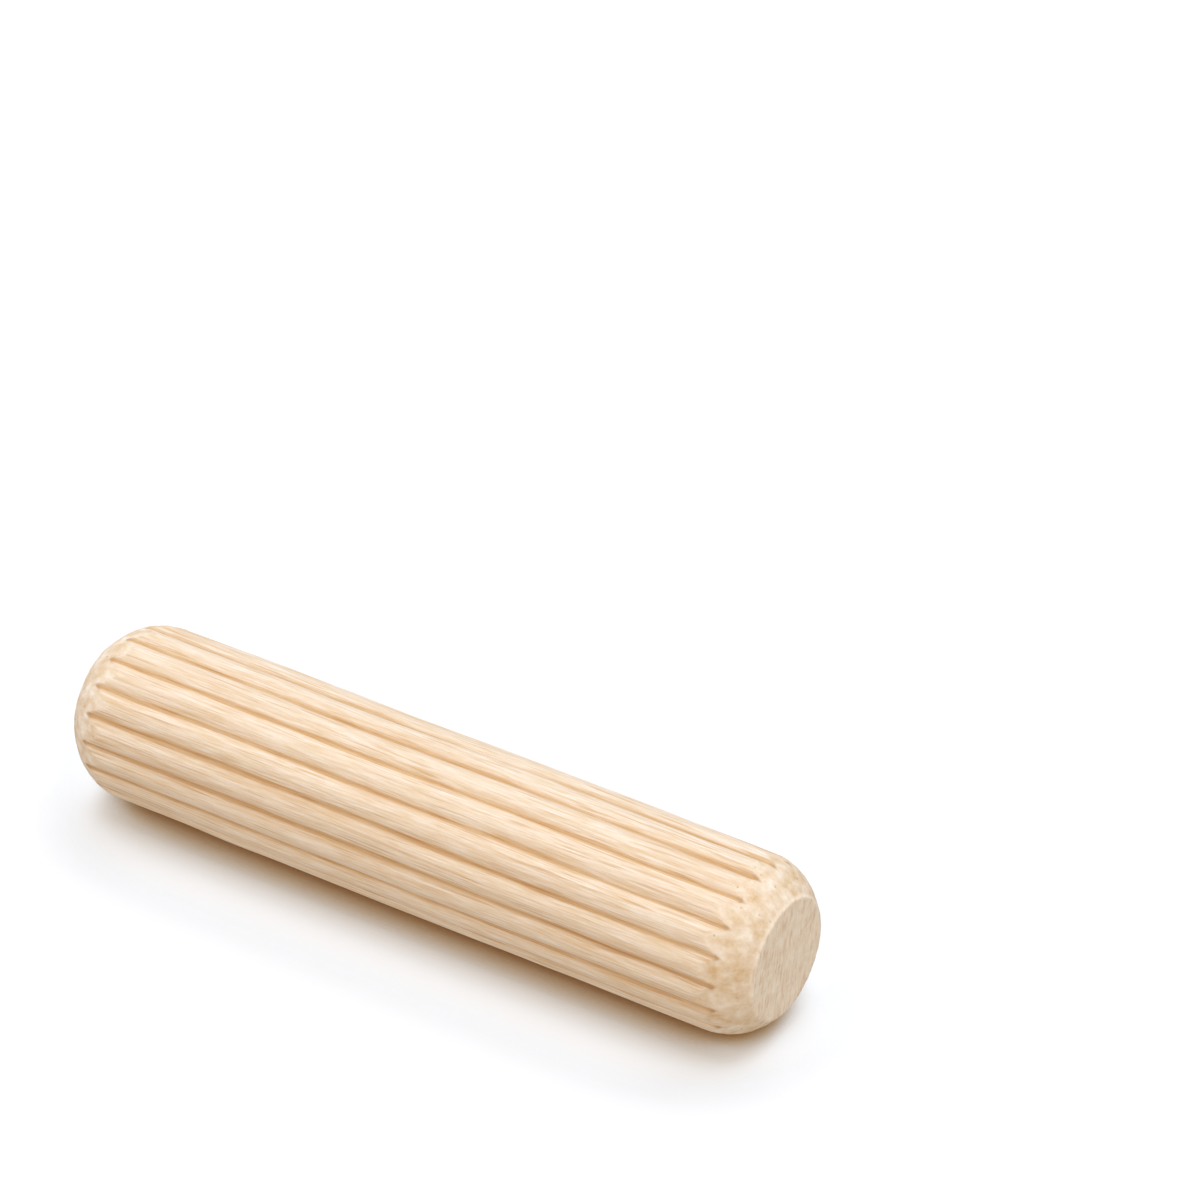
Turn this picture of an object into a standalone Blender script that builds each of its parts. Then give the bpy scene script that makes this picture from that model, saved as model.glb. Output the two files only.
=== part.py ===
"""Fluted wooden dowel pin.

One piece of beech. A long fluted rod is sawn to length and each end is turned to a rounded chamfer, so
the grooves run out into the chamfers in pointed scallops. The pin stands on one sawn end, with its axis
along Z and the middle of that end face at the origin. Lengths are in metres, angles in degrees.
"""
import math

import bmesh
import bpy

# Driving dimensions
PIN_DIAMETER = 0.008          # over the crests of the ridges
PIN_LENGTH = 0.035            # over the two end faces
FLUTE_COUNT = 18
FLUTE_DEPTH = 0.00024         # from the crests down to the bottoms of the grooves
GROOVE_RADIUS = 0.00007       # rounding along the bottom of each groove
CHAMFER_DEPTH = 0.00135       # from the crests in to the edge of the flat end face, on the radius
CHAMFER_ANGLE = 47.0          # between the chamfer and the pin's axis
FACE_EDGE_RADIUS = 0.0002     # soft corner between the end face and the chamfer
SHOULDER_RADIUS = 0.003       # long curve that carries the chamfer into the ridges
FORMER_CLEARANCE = 0.00001    # between the crests and the bore of the tool that turns the ends

# Facets
RIDGE_FACETS = 10
GROOVE_FACETS = 3
SHOULDER_FACETS = 12
CORNER_FACETS = 3
FACETS_PER_RIDGE = 6          # of the turned ends, round the pin

# Finish
BEECH_COLOUR = (0.83, 0.64, 0.43, 1.0)
BEECH_ROUGHNESS = 0.62
SHARP_ANGLE = 35.0


def new_collection(name):
    collection = bpy.data.collections.new(name)
    bpy.context.scene.collection.children.link(collection)
    return collection


def arc(centre, radius, start, end, facets):
    """Points along an arc, from angle start to angle end in radians, both ends included."""
    steps = [start + (end - start) * i / facets for i in range(facets + 1)]
    return [(centre[0] + radius * math.cos(a), centre[1] + radius * math.sin(a)) for a in steps]


def turned(point, angle):
    """A point of the section turned about the pin's axis."""
    cosine, sine = math.cos(angle), math.sin(angle)
    return (point[0] * cosine - point[1] * sine, point[0] * sine + point[1] * cosine)


def ridge_outline():
    """One ridge and the groove after it, with the ridge's crest on the X axis.

    The crown of the ridge is an arc through the crest, and the groove's bottom is a small hollow arc.
    The crown's centre is placed so that the two arcs are tangent where they meet.
    """
    crest = PIN_DIAMETER / 2
    half_pitch = math.pi / FLUTE_COUNT
    reach = crest + GROOVE_RADIUS
    hollow = reach - FLUTE_DEPTH
    centre = (reach ** 2 - hollow ** 2) / (2 * (reach - hollow * math.cos(half_pitch)))
    crown_radius = crest - centre
    hollow_centre = (hollow * math.cos(half_pitch), hollow * math.sin(half_pitch))
    flank = math.atan2(hollow_centre[1], hollow_centre[0] - centre)
    crown = arc((centre, 0.0), crown_radius, -flank, flank, RIDGE_FACETS)
    bottom_start, bottom_end = math.pi + flank, math.pi + 2 * half_pitch - flank
    bottom = arc(hollow_centre, GROOVE_RADIUS, bottom_start, bottom_end, GROOVE_FACETS)
    return crown + bottom[1:-1]


def rod_section():
    """The whole fluted section: the one ridge, repeated round the pin."""
    pitch = 2 * math.pi / FLUTE_COUNT
    return [turned(p, pitch * k) for k in range(FLUTE_COUNT) for p in ridge_outline()]


def end_profile():
    """Radius and distance along the axis, from the centre of an end face out to the former's bore.

    The face's soft corner, the straight cone and the shoulder follow each other, each tangent to the next.
    The shoulder is no rounder than the depth of the chamfer has room for.
    """
    angle = math.radians(CHAMFER_ANGLE)
    bore = PIN_DIAMETER / 2 + FORMER_CLEARANCE
    face_plane = PIN_LENGTH / 2
    corner_centre = (PIN_DIAMETER / 2 - CHAMFER_DEPTH, face_plane - FACE_EDGE_RADIUS)
    corner = arc(corner_centre, FACE_EDGE_RADIUS, math.pi / 2, angle, CORNER_FACETS)
    cone_start_radius, cone_start = corner[-1]
    shoulder_radius = min(SHOULDER_RADIUS, (bore - cone_start_radius) / (1 - math.cos(angle)))
    cone_end_radius = bore - shoulder_radius * (1 - math.cos(angle))
    cone_end = cone_start - (cone_end_radius - cone_start_radius) / math.tan(angle)
    shoulder_centre = (bore - shoulder_radius, cone_end - shoulder_radius * math.sin(angle))
    shoulder = arc(shoulder_centre, shoulder_radius, angle, 0.0, SHOULDER_FACETS)
    return [(0.0, face_plane)] + corner + shoulder


def beech():
    """Pale planed beech with no finish on it."""
    material = bpy.data.materials.new("beech")
    material.use_nodes = True
    shader = material.node_tree.nodes["Principled BSDF"]
    shader.inputs["Base Color"].default_value = BEECH_COLOUR
    shader.inputs["Roughness"].default_value = BEECH_ROUGHNESS
    shader.inputs["Metallic"].default_value = 0.0
    return material


def fluted_rod(collection, section):
    """The rod from the fluting rollers: its section as a flat outline, extruded longer than the pin."""
    curve = bpy.data.curves.new("fluted_section", "CURVE")
    curve.dimensions = "2D"
    curve.fill_mode = "BOTH"
    curve.extrude = (PIN_LENGTH + PIN_DIAMETER) / 2
    spline = curve.splines.new("POLY")
    spline.points.add(len(section) - 1)
    for point, (x, y) in zip(spline.points, section):
        point.co = (x, y, 0.0, 1.0)
    spline.use_cyclic_u = True
    outline = bpy.data.objects.new("fluted_section", curve)
    collection.objects.link(outline)
    bpy.context.view_layer.update()

    evaluated = outline.evaluated_get(bpy.context.evaluated_depsgraph_get())
    mesh = bpy.data.meshes.new_from_object(evaluated)
    shape = bmesh.new()
    shape.from_mesh(mesh)
    bmesh.ops.remove_doubles(shape, verts=shape.verts, dist=1e-6)
    bmesh.ops.recalc_face_normals(shape, faces=shape.faces)
    shape.to_mesh(mesh)
    shape.free()
    rod = bpy.data.objects.new("dowel_pin", mesh)
    rod.matrix_world = outline.matrix_world
    collection.objects.link(rod)
    bpy.data.objects.remove(outline)
    return rod


def end_former(collection):
    """What both end cutters leave: the turned outline of the pin, as a profile spun about its axis."""
    top = end_profile()
    profile = top + [(radius, -along) for radius, along in reversed(top)]
    mesh = bpy.data.meshes.new("end_former")
    edges = [(i, i + 1) for i in range(len(profile) - 1)]
    mesh.from_pydata([(radius, 0.0, along) for radius, along in profile], edges, [])
    former = bpy.data.objects.new("end_former", mesh)
    collection.objects.link(former)
    screw = former.modifiers.new("spin", "SCREW")
    screw.axis = "Z"
    screw.angle = math.tau
    screw.steps = FACETS_PER_RIDGE * FLUTE_COUNT
    screw.render_steps = screw.steps
    screw.use_merge_vertices = True
    screw.merge_threshold = 1e-6
    former.hide_render = True
    former.display_type = "WIRE"
    return former


for old in list(bpy.data.objects):
    bpy.data.objects.remove(old)

pieces = new_collection("wooden_dowel_pin")
cutters = new_collection("cutters")

pin = fluted_rod(pieces, rod_section())
former = end_former(cutters)
for thing in (pin, former):
    thing.location.z = PIN_LENGTH / 2

shaping = pin.modifiers.new("turned_ends", "BOOLEAN")
shaping.operation = "INTERSECT"
shaping.solver = "EXACT"
shaping.object = former

pin.data.materials.clear()
pin.data.materials.append(beech())
pin.data.shade_smooth()
pin.data.set_sharp_from_angle(angle=math.radians(SHARP_ANGLE))
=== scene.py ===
import math

import bpy
from mathutils import Matrix, Vector


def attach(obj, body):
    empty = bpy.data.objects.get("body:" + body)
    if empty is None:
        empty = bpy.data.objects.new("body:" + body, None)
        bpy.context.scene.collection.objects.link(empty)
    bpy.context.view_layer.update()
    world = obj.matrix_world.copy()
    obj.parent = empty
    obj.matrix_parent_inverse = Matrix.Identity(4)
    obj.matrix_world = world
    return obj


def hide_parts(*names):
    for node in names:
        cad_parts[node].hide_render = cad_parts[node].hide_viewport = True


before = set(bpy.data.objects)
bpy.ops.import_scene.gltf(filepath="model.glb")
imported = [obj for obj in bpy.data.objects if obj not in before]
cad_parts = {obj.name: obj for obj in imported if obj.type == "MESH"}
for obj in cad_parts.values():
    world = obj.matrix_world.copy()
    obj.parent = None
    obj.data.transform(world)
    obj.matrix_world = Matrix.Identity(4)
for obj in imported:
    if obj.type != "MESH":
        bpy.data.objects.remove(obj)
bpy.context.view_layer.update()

# Fluted section
# The rod is planed round and pressed between toothed rollers, which leave eighteen rounded ridges
# with a narrow groove between each two. The rollers wander a little along the grain, so no groove is
# quite straight or even. This piece is only the shape that the pin's surface is pressed to.
PIN_LENGTH = 0.035
CREST_RADIUS = 0.004
RIDGES = 18
FLUTE_DEPTH = 0.00024
GROOVE_ROUNDING = 0.00008
PITCH = math.tau / RIDGES
POINTS_PER_RIDGE = 36
ROD_STEP = 0.001
ROD_STEPS = 43
ROD_START = -0.004


def ridge_radius(angle):
    """Distance from the pin's axis to its fluted surface, at an angle round the axis from a crest."""
    away = abs((angle + PITCH / 2) % PITCH - PITCH / 2)
    reach = CREST_RADIUS + GROOVE_ROUNDING
    hollow = reach - FLUTE_DEPTH
    centre = (reach ** 2 - hollow ** 2) / (2 * (reach - hollow * math.cos(PITCH / 2)))
    crown = CREST_RADIUS - centre
    flank = math.atan2(hollow * math.sin(PITCH / 2), hollow * math.cos(PITCH / 2) - centre)
    if away <= math.atan2(crown * math.sin(flank), centre + crown * math.cos(flank)):
        return centre * math.cos(away) + math.sqrt(crown ** 2 - (centre * math.sin(away)) ** 2)
    from_groove = PITCH / 2 - away
    sideways = hollow * math.sin(from_groove)
    return hollow * math.cos(from_groove) - math.sqrt(GROOVE_ROUNDING ** 2 - sideways ** 2)


def shape(piece):
    """Makes a piece the only one selected and opens it for editing, with nothing selected on it."""
    bpy.ops.object.select_all(action="DESELECT")
    piece.select_set(True)
    bpy.context.view_layer.objects.active = piece
    bpy.ops.object.mode_set(mode="EDIT")
    bpy.ops.mesh.select_mode(type="VERT")
    bpy.ops.mesh.select_all(action="DESELECT")


def select_points(piece, wanted):
    """Selects only those points of the piece being edited for which wanted(position) is true."""
    bpy.ops.mesh.select_all(action="DESELECT")
    bpy.ops.object.mode_set(mode="OBJECT")
    for point in piece.data.vertices:
        point.select = wanted(point.co)
    bpy.ops.object.mode_set(mode="EDIT")


# where the random patterns start, a little off the pin's own axis
PATTERN_START = (0.0013, 0.0007, 0.0031)


def press(piece, name, width, length, depth, group="", direction="NORMAL"):
    """Dents a piece by a soft random pattern of real width across the grain and length along it."""
    guide = bpy.data.objects.new(name, None)
    bpy.context.collection.objects.link(guide)
    guide.scale = (width, width, length)
    guide.location = PATTERN_START
    bpy.context.view_layer.update()
    pattern = bpy.data.textures.new(name, "CLOUDS")
    pattern.noise_scale = 1.0
    pattern.noise_depth = 2
    dents = piece.modifiers.new(name, "DISPLACE")
    dents.texture = pattern
    dents.texture_coords = "OBJECT"
    dents.texture_coords_object = guide
    dents.direction = direction
    dents.mid_level = 0.5
    dents.strength = depth
    dents.vertex_group = group
    bpy.context.view_layer.objects.active = piece
    bpy.ops.object.modifier_apply(modifier=dents.name)
    bpy.data.objects.remove(guide)


bpy.ops.object.select_all(action="DESELECT")
bpy.ops.mesh.primitive_circle_add(
    vertices=POINTS_PER_RIDGE * RIDGES,
    radius=CREST_RADIUS,
    fill_type="NOTHING",
    location=(0, 0, ROD_START),
)
rollers = bpy.context.object
rollers.name = "fluting_rollers"
bpy.ops.object.transform_apply()
shape(rollers)
for step in range(ROD_STEPS):
    last_ring = ROD_START + ROD_STEP * step
    select_points(rollers, lambda place: place.z > last_ring - ROD_STEP / 10)
    bpy.ops.mesh.extrude_region_move(TRANSFORM_OT_translate={"value": (0, 0, ROD_STEP)})
bpy.ops.object.mode_set(mode="OBJECT")
press(rollers, "uneven_ridges", 0.0016, 0.009, 0.00006)
shape(rollers)
for step in range(1, POINTS_PER_RIDGE // 2 + 1):
    away = PITCH * step / POINTS_PER_RIDGE

    def in_step(place, away=away):
        angle = math.atan2(place.y, place.x)
        from_crest = abs((angle + PITCH / 2) % PITCH - PITCH / 2)
        return abs(from_crest - away) < PITCH / POINTS_PER_RIDGE / 4

    select_points(rollers, in_step)
    shrink = ridge_radius(away) / CREST_RADIUS
    bpy.ops.transform.resize(value=(shrink, shrink, 1), center_override=(0, 0, 0))
bpy.ops.object.mode_set(mode="OBJECT")
press(rollers, "wander_one_way", 0.004, 0.008, 0.0001, direction="X")
press(rollers, "wander_other_way", 0.0045, 0.007, 0.0001, direction="Y")

# Pin
# One length of steamed European beech, straight in the grain. It is sawn to length from the fluted
# rod and both ends are turned to a rounded chamfer with a plain cutter, so each groove runs out into
# the chamfer between two scallops. The cut ends show end grain, and nothing is painted or waxed.
CHAMFER_DEPTH = 0.00135
FACE_RADIUS = CREST_RADIUS - CHAMFER_DEPTH
CHAMFER = math.radians(47)
CORNER = 0.0002
SHOULDER = 0.003
CUTTER_CLEARANCE = 0.00001
BORE = CREST_RADIUS + CUTTER_CLEARANCE
FACE_RINGS = 10
CORNER_RINGS = 4
CONE_RINGS = 3
SHOULDER_RINGS = 26
SCALLOP_RINGS = 12
SCALLOP_STEP = 0.00016
SIDE_RINGS = 36
FACETS_PER_RIDGE = 24

half = PIN_LENGTH / 2
corner_height = half - CORNER
cone_start = (FACE_RADIUS + CORNER * math.cos(CHAMFER), corner_height + CORNER * math.sin(CHAMFER))
cone_end_radius = BORE - SHOULDER * (1 - math.cos(CHAMFER))
cone_end = (cone_end_radius, cone_start[1] - (cone_end_radius - cone_start[0]) / math.tan(CHAMFER))
shoulder_height = cone_end[1] - SHOULDER * math.sin(CHAMFER)
end = [(FACE_RADIUS * i / FACE_RINGS, half) for i in range(FACE_RINGS)]
for i in range(CORNER_RINGS + 1):
    turn = math.pi / 2 + (CHAMFER - math.pi / 2) * i / CORNER_RINGS
    end.append((FACE_RADIUS + CORNER * math.cos(turn), corner_height + CORNER * math.sin(turn)))
for i in range(1, CONE_RINGS):
    end.append(tuple(a + (b - a) * i / CONE_RINGS for a, b in zip(cone_start, cone_end)))
for i in range(SHOULDER_RINGS + 1):
    turn = CHAMFER * (1 - i / SHOULDER_RINGS)
    reach = BORE - SHOULDER + SHOULDER * math.cos(turn)
    end.append((reach, shoulder_height + SHOULDER * math.sin(turn)))
# close rings past the shoulder, where the scallops end, then wider ones over the middle
end += [(BORE, shoulder_height - SCALLOP_STEP * i) for i in range(1, SCALLOP_RINGS + 1)]
straight = end[-1][1]
side = [(BORE, straight * (1 - i / SIDE_RINGS)) for i in range(1, 2 * SIDE_RINGS)]
outline = end + side + [(r, -h) for r, h in reversed(end)]

bpy.ops.object.select_all(action="DESELECT")
bpy.ops.mesh.primitive_plane_add(size=0.001, location=(0, 0, 0))
pin = bpy.context.object
pin.name = "beech_dowel_pin"
shape(pin)
bpy.ops.mesh.select_all(action="SELECT")
bpy.ops.mesh.merge(type="CENTER")
bpy.ops.transform.translate(value=(0, 0, outline[0][1] + half))
for (r0, h0), (r1, h1) in zip(outline, outline[1:]):
    bpy.ops.mesh.extrude_vertices_move(TRANSFORM_OT_translate={"value": (r1 - r0, 0, h1 - h0)})
bpy.ops.object.mode_set(mode="OBJECT")
turning = pin.modifiers.new("turning", "SCREW")
turning.axis = "Z"
turning.angle = math.tau
turning.steps = FACETS_PER_RIDGE * RIDGES
turning.render_steps = turning.steps
turning.use_merge_vertices = True
turning.merge_threshold = 1e-6
bpy.ops.object.modifier_apply(modifier=turning.name)
shape(pin)
bpy.ops.mesh.select_all(action="SELECT")
bpy.ops.mesh.remove_doubles(threshold=1e-6)
bpy.ops.mesh.normals_make_consistent(inside=False)
bpy.ops.object.mode_set(mode="OBJECT")

# only the skin near the crests is pressed to the rollers, and no point of it moves further than this
SKIN_DEPTH = 0.0004
PRESS_LIMIT = 0.0005
turned_radius = [math.hypot(p.co.x, p.co.y) for p in pin.data.vertices]
under_rollers = pin.vertex_groups.new(name="under_rollers")
skin_points = [i for i, r in enumerate(turned_radius) if r > CREST_RADIUS - SKIN_DEPTH]
under_rollers.add(skin_points, 1.0, "REPLACE")
wrap = pin.modifiers.new("pressed_flutes", "SHRINKWRAP")
wrap.target = rollers
wrap.wrap_method = "PROJECT"
wrap.use_negative_direction = True
wrap.use_positive_direction = False
wrap.project_limit = PRESS_LIMIT
wrap.vertex_group = under_rollers.name
bpy.context.view_layer.objects.active = pin
bpy.ops.object.modifier_apply(modifier=wrap.name)
bpy.data.objects.remove(rollers)

# how far the end cutter went under the fluted surface, in metres: above zero on end grain
SHARED_EDGE = 0.00001
cut = pin.data.attributes.new("cutter_depth", "FLOAT", "POINT")
for point, radius in zip(pin.data.vertices, turned_radius):
    cut.data[point.index].value = ridge_radius(math.atan2(point.co.y, point.co.x)) - radius
fluted = pin.vertex_groups.new(name="fluted")
turned = pin.vertex_groups.new(name="turned")
fluted.add([i for i, c in enumerate(cut.data) if c.value < SHARED_EDGE], 1.0, "REPLACE")
turned.add([i for i, c in enumerate(cut.data) if c.value >= -SHARED_EDGE], 1.0, "REPLACE")
press(pin, "raised_grain", 0.0004, 0.007, 0.00005, group="fluted")
press(pin, "fibre_relief", 0.00016, 0.0045, 0.000025, group="fluted")
press(pin, "torn_end_grain", 0.00022, 0.00022, 0.00003, group="turned")
press(pin, "cutter_chatter", 0.0008, 0.0006, 0.00005, group="turned")
pin.data.shade_smooth()


def linear(colour):
    """An sRGB hex colour as the linear values that a shader takes."""
    channels = [int(colour[i:i + 2], 16) / 255 for i in (1, 3, 5)]
    return tuple(c / 12.92 if c <= 0.04045 else ((c + 0.055) / 1.055) ** 2.4 for c in channels) + (1.0,)


def add_node(tree, kind, inputs=None, **settings):
    """Adds a node, sets its own properties, and gives each socket a value or a link."""
    node = tree.nodes.new(kind)
    for name, value in settings.items():
        setattr(node, name, value)
    for socket, value in (inputs or {}).items():
        if isinstance(value, bpy.types.NodeSocket):
            tree.links.new(value, node.inputs[socket])
        else:
            node.inputs[socket].default_value = value
    return node


# Steamed beech, pressed along the grain and turned across it. It gives a pale cream to honey ground
# with fine lengthwise fibre lines and thin brown flecks, a honey brown along the grooves that is
# partly burnish and partly painted shade, and blotchy end grain with a few dark pores where it was
# cut across, palest on the sawn face.
beech = bpy.data.materials.new("steamed_beech_planed_and_turned")
beech.use_nodes = True
wood = beech.node_tree
shader = wood.nodes["Principled BSDF"]
place = add_node(wood, "ShaderNodeTexCoord").outputs["Object"]

# fibres are 0.02 mm wide, too fine to show, so they are drawn 0.07 mm wide and 1.7 mm long
fibre_grid = add_node(wood, "ShaderNodeMapping", {"Vector": place, "Scale": (15000, 15000, 600)})
fibres = add_node(
    wood, "ShaderNodeTexNoise",
    {"Vector": fibre_grid.outputs[0], "Scale": 1.0, "Detail": 3.0, "Roughness": 0.6},
)
fibre_tone = add_node(
    wood, "ShaderNodeMapRange", {"Value": fibres.outputs["Fac"], "From Min": 0.22, "From Max": 0.78}
)
long_ground = add_node(
    wood, "ShaderNodeMix",
    {0: fibre_tone.outputs[0], 6: linear("#dfbe8e"), 7: linear("#fbf2ea")},
    data_type="RGBA",
)
# streaks of denser wood, about 0.4 mm wide and 10 mm long
streak_grid = add_node(wood, "ShaderNodeMapping", {"Vector": place, "Scale": (2500, 2500, 100)})
streaks = add_node(
    wood, "ShaderNodeTexNoise",
    {"Vector": streak_grid.outputs[0], "Scale": 1.0, "Detail": 2.0, "Roughness": 0.55},
)
streak_amount = add_node(
    wood, "ShaderNodeMapRange",
    {"Value": streaks.outputs["Fac"], "From Min": 0.5, "From Max": 0.75, "To Max": 0.4},
)
long_streaked = add_node(
    wood, "ShaderNodeMix",
    {0: streak_amount.outputs[0], 6: long_ground.outputs[2], 7: linear("#d6ac78")},
    data_type="RGBA",
)
# cut pores and rays show as brown flecks along the grain, 0.1 mm wide and about 3 mm long
fleck_grid = add_node(wood, "ShaderNodeMapping", {"Vector": place, "Scale": (10000, 10000, 300)})
flecks = add_node(
    wood, "ShaderNodeTexNoise",
    {"Vector": fleck_grid.outputs[0], "Scale": 1.0, "Detail": 1.0, "Roughness": 0.5},
)
fleck_amount = add_node(
    wood, "ShaderNodeMapRange",
    {"Value": flecks.outputs["Fac"], "From Min": 0.58, "From Max": 0.72, "To Max": 0.5},
)
long_flecked = add_node(
    wood, "ShaderNodeMix",
    {0: fleck_amount.outputs[0], 6: long_streaked.outputs[2], 7: linear("#c69860")},
    data_type="RGBA",
)
# the grooves are darker towards the bottom, partly the rollers' burnish and partly painted shade
# that widens the dark valleys: the sides a little, and the last 0.09 mm at the bottom more
flat_place = add_node(wood, "ShaderNodeVectorMath", {0: place, 1: (1, 1, 0)}, operation="MULTIPLY")
radius = add_node(wood, "ShaderNodeVectorMath", {0: flat_place.outputs[0]}, operation="LENGTH")
burnish_and_groove_shade = long_flecked
for top, bottom, tone in ((0.00003, 0.0002, "#fbf6ee"), (0.00014, 0.00023, "#ead7bb")):
    groove = add_node(
        wood, "ShaderNodeMapRange",
        {
            "Value": radius.outputs["Value"],
            "From Min": CREST_RADIUS - top,
            "From Max": CREST_RADIUS - bottom,
        },
        interpolation_type="SMOOTHSTEP",
    )
    burnish_and_groove_shade = add_node(
        wood, "ShaderNodeMix", {0: groove.outputs[0], 6: burnish_and_groove_shade.outputs[2], 7: linear(tone)},
        data_type="RGBA", blend_type="MULTIPLY",
    )

# end grain is mottled at 0.5 mm, with pores, which are 0.05 mm across but drawn 0.1 mm
mottle_grid = add_node(wood, "ShaderNodeMapping", {"Vector": place, "Scale": (1800, 1800, 1400)})
mottle = add_node(
    wood, "ShaderNodeTexNoise",
    {"Vector": mottle_grid.outputs[0], "Scale": 1.0, "Detail": 4.0, "Roughness": 0.6},
)
mottle_tone = add_node(
    wood, "ShaderNodeMapRange", {"Value": mottle.outputs["Fac"], "From Min": 0.27, "From Max": 0.73}
)
end_ground = add_node(
    wood, "ShaderNodeMix",
    {0: mottle_tone.outputs[0], 6: linear("#d9b98c"), 7: linear("#faf0e4")},
    data_type="RGBA",
)
pores = add_node(wood, "ShaderNodeTexVoronoi", {"Vector": place, "Scale": 2700.0})
pore_spot = add_node(
    wood, "ShaderNodeMapRange",
    {"Value": pores.outputs["Distance"], "From Min": 0.2, "From Max": 0.08, "To Max": 0.45},
)
pore_pick = add_node(
    wood, "ShaderNodeMapRange", {"Value": pores.outputs["Color"], "From Min": 0.5, "From Max": 0.65}
)
pore_amount = add_node(
    wood, "ShaderNodeMath", {0: pore_spot.outputs[0], 1: pore_pick.outputs[0]}, operation="MULTIPLY"
)
end_pored = add_node(
    wood, "ShaderNodeMix",
    {0: pore_amount.outputs[0], 6: end_ground.outputs[2], 7: linear("#8a6238")},
    data_type="RGBA",
)
# the sawn face is paler than the turned chamfer round it
height = add_node(wood, "ShaderNodeSeparateXYZ", {0: place})
from_middle = add_node(
    wood, "ShaderNodeMath", {0: height.outputs["Z"], 1: half}, operation="SUBTRACT"
)
from_either = add_node(wood, "ShaderNodeMath", {0: from_middle.outputs[0]}, operation="ABSOLUTE")
sawn = add_node(
    wood, "ShaderNodeMapRange",
    {"Value": from_either.outputs[0], "From Min": half - 0.00014, "From Max": half - 0.00003},
)
sawn_share = add_node(wood, "ShaderNodeMath", {0: sawn.outputs[0], 1: 0.65}, operation="MULTIPLY")
end_sawn = add_node(
    wood, "ShaderNodeMix",
    {0: sawn_share.outputs[0], 6: end_pored.outputs[2], 7: linear("#fff6ea")},
    data_type="RGBA",
)
# rays cross the sawn face as streaks 0.14 mm wide and 0.8 mm long, and hardly show on the chamfer
ray_turn = add_node(
    wood, "ShaderNodeMapping", {"Vector": place, "Rotation": (0, 0, math.radians(-74))}
)
ray_grid = add_node(
    wood, "ShaderNodeVectorMath", {0: ray_turn.outputs[0], 1: (1300, 7000, 2500)},
    operation="MULTIPLY",
)
rays = add_node(
    wood, "ShaderNodeTexNoise",
    {"Vector": ray_grid.outputs[0], "Scale": 1.0, "Detail": 2.0, "Roughness": 0.6},
)
ray_tone = add_node(
    wood, "ShaderNodeMapRange",
    {"Value": rays.outputs["Fac"], "From Min": 0.48, "From Max": 0.7, "To Max": 0.55},
)
ray_share = add_node(wood, "ShaderNodeMapRange", {"Value": sawn.outputs[0], "To Min": 0.2})
ray_amount = add_node(
    wood, "ShaderNodeMath", {0: ray_tone.outputs[0], 1: ray_share.outputs[0]}, operation="MULTIPLY"
)
end_rayed = add_node(
    wood, "ShaderNodeMix",
    {0: ray_amount.outputs[0], 6: end_sawn.outputs[2], 7: linear("#cfac88")},
    data_type="RGBA",
)

# end grain takes over from the pressed skin where the cutter went below it
cutter_depth = add_node(wood, "ShaderNodeAttribute", attribute_name="cutter_depth").outputs["Fac"]
end_amount = add_node(
    wood, "ShaderNodeMapRange", {"Value": cutter_depth, "From Min": -0.00002, "From Max": 0.00005}
)
skin = add_node(
    wood, "ShaderNodeMix",
    {0: end_amount.outputs[0], 6: burnish_and_groove_shade.outputs[2], 7: end_rayed.outputs[2]},
    data_type="RGBA",
)
# darker brown where the cut end crosses the bottom of a groove
from_edge = add_node(wood, "ShaderNodeMath", {0: cutter_depth}, operation="ABSOLUTE")
near_edge = add_node(
    wood, "ShaderNodeMapRange",
    {"Value": from_edge.outputs[0], "From Min": 0.0001, "From Max": 0.0, "To Max": 0.4},
)
groove_end_dark = add_node(
    wood, "ShaderNodeMath", {0: near_edge.outputs[0], 1: groove.outputs[0]}, operation="MULTIPLY"
)
tipped = add_node(
    wood, "ShaderNodeMix", {0: groove_end_dark.outputs[0], 6: skin.outputs[2], 7: linear("#a3733f")},
    data_type="RGBA",
)
wood.links.new(tipped.outputs[2], shader.inputs["Base Color"])
shader.inputs["Roughness"].default_value = 0.62
shader.inputs["Specular IOR Level"].default_value = 0.35

# bare wood is slightly rough to the light: fibres stand up along it and rays across the sawn face
ray_relief = add_node(
    wood, "ShaderNodeMath", {0: rays.outputs["Fac"], 1: ray_share.outputs[0]}, operation="MULTIPLY"
)
relief = add_node(
    wood, "ShaderNodeMix",
    {0: end_amount.outputs[0], 2: fibres.outputs["Fac"], 3: ray_relief.outputs[0]},
    data_type="FLOAT",
)
bump = add_node(
    wood, "ShaderNodeBump", {"Height": relief.outputs[0], "Distance": 0.00006, "Strength": 0.8}
)
wood.links.new(bump.outputs[0], shader.inputs["Normal"])

pin.data.materials.clear()
pin.data.materials.append(beech)
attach(pin, "root")
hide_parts("dowel_pin")

# Pale surface
# Matt white card. The part stands on its sawn end in its own frame, but it is photographed lying
# down, so this card stands upright and touches two ridges, and the camera is turned to match.
CARD_DISTANCE = 0.0039517
CARD_SIZE = 0.5
bpy.ops.object.select_all(action="DESELECT")
bpy.ops.mesh.primitive_plane_add(
    size=CARD_SIZE, location=(0, CARD_DISTANCE, half), rotation=(math.pi / 2, 0, 0)
)
card = bpy.context.object
card.name = "pale_surface"
bpy.ops.object.transform_apply()

# matt white with a painted brown shadow close to the pin, and clear from behind
paper = bpy.data.materials.new("matt_white_card")
paper.use_nodes = True
card_tree = paper.node_tree
card_tree.nodes.remove(card_tree.nodes["Principled BSDF"])
SHADE_REACH = 0.006
near_pin = add_node(
    card_tree, "ShaderNodeAmbientOcclusion", {"Distance": SHADE_REACH}, samples=16
)
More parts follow.
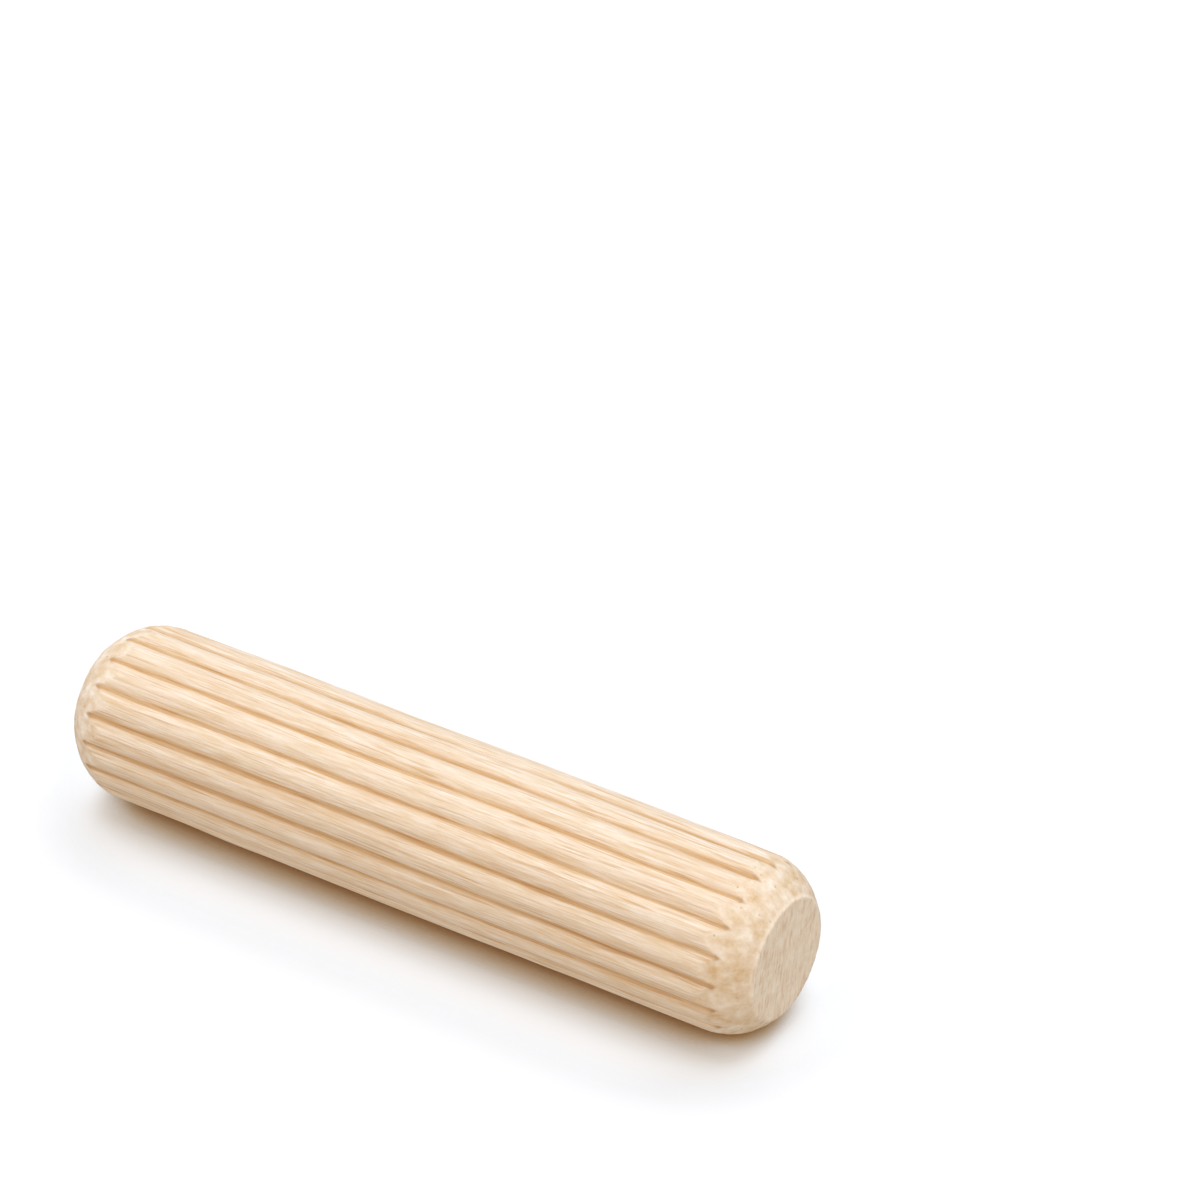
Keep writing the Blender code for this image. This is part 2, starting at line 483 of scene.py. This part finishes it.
# painted shadow, by how open the card is: brown close under the pin, out to the open card at 1.0;
# the paler tones at 0.4 to 0.6 are painted light that fills in the tail of the real shadow
painted_shadow_tones = (
    (0.1, "#6f3f10"),
    (0.25, "#a49071"),
    (0.4, "#d1d7df"),
    (0.6, "#dbe1e8"),
    (0.8, "#c8cbd0"),
    (1.0, "#cdced1"),
)
shade = add_node(card_tree, "ShaderNodeValToRGB", {"Fac": near_pin.outputs["AO"]})
stops = shade.color_ramp.elements
stops.remove(stops[1])
stops[0].position = painted_shadow_tones[0][0]
stops[0].color = linear(painted_shadow_tones[0][1])
for openness, tone in painted_shadow_tones[1:]:
    stops.new(openness).color = linear(tone)
# the lamps are kept down for the wood, so the card's own colours come up by this to look white
CARD_LIFT = 1.5
card_with_painted_shadow = add_node(
    card_tree, "ShaderNodeVectorMath", {0: shade.outputs[0], "Scale": CARD_LIFT}, operation="SCALE"
)
matt = add_node(card_tree, "ShaderNodeBsdfDiffuse", {"Color": card_with_painted_shadow.outputs[0]})
clear = add_node(card_tree, "ShaderNodeBsdfTransparent")
back = add_node(card_tree, "ShaderNodeNewGeometry").outputs["Backfacing"]
one_way = add_node(
    card_tree, "ShaderNodeMixShader", {0: back, 1: matt.outputs[0], 2: clear.outputs[0]}
)
card_tree.links.new(one_way.outputs[0], card_tree.nodes["Material Output"].inputs["Surface"])
card.data.materials.append(paper)
card.visible_diffuse = False
card.visible_glossy = False
card.visible_shadow = False

# Light and camera
# A large cool soft box hangs over the pin, square to the pale surface. Two warmer fills in front
# and white walls all round stand for the light that the surface throws back. The camera is a long
# lens, turned so that the pin lies as in the photograph.
world = bpy.data.worlds.new("white_studio")
bpy.context.scene.world = world
world.use_nodes = True
studio = world.node_tree
walls = studio.nodes["Background"]
walls.inputs["Color"].default_value = linear("#fff3e5")
walls.inputs["Strength"].default_value = 0.48
ray = add_node(studio, "ShaderNodeLightPath").outputs["Is Camera Ray"]
seen = add_node(studio, "ShaderNodeBackground", {"Color": linear("#ffffff"), "Strength": 1.0})
either = add_node(studio, "ShaderNodeMixShader", {0: ray, 1: walls.outputs[0], 2: seen.outputs[0]})
studio.links.new(either.outputs[0], studio.nodes["World Output"].inputs["Surface"])

lamps = (
    ("soft_box", 0.5, 1.8, "#eaf4ff", (-0.12, -0.385, 0.01)),
    ("right_fill", 0.4, 0.66, "#fff0da", (0.28, -0.15, 0.31)),
    ("left_fill", 0.4, 0.56, "#f6f7fb", (0.22, -0.08, -0.31)),
)
for name, size, watts, colour, spot in lamps:
    lamp = bpy.data.lights.new(name, "AREA")
    lamp.shape = "SQUARE"
    lamp.size = size
    lamp.energy = watts
    lamp.color = linear(colour)[:3]
    box = bpy.data.objects.new(name, lamp)
    box.location = spot
    towards_pin = Vector((0, 0, half)) - box.location
    box.rotation_euler = towards_pin.to_track_quat("-Z", "Y").to_euler()
    bpy.context.scene.collection.objects.link(box)

lens = bpy.data.cameras.new("camera")
lens.lens = 209.99
lens.sensor_width = 36.0
lens.clip_start = 0.01
camera = bpy.data.objects.new("camera", lens)
stand = Matrix.Translation((0.1875335, -0.1901676, 0.1554526))
right = Vector((-0.5430315, 0.0369781, 0.8388977))
up = Vector((-0.5270630, -0.7927333, -0.3062328))
towards_eye = Vector((0.6536982, -0.6084460, 0.4499689))
camera.matrix_world = stand @ Matrix((right, up, towards_eye)).transposed().to_4x4()
bpy.context.scene.collection.objects.link(camera)
bpy.context.scene.camera = camera
bpy.context.scene.view_settings.view_transform = "Standard"
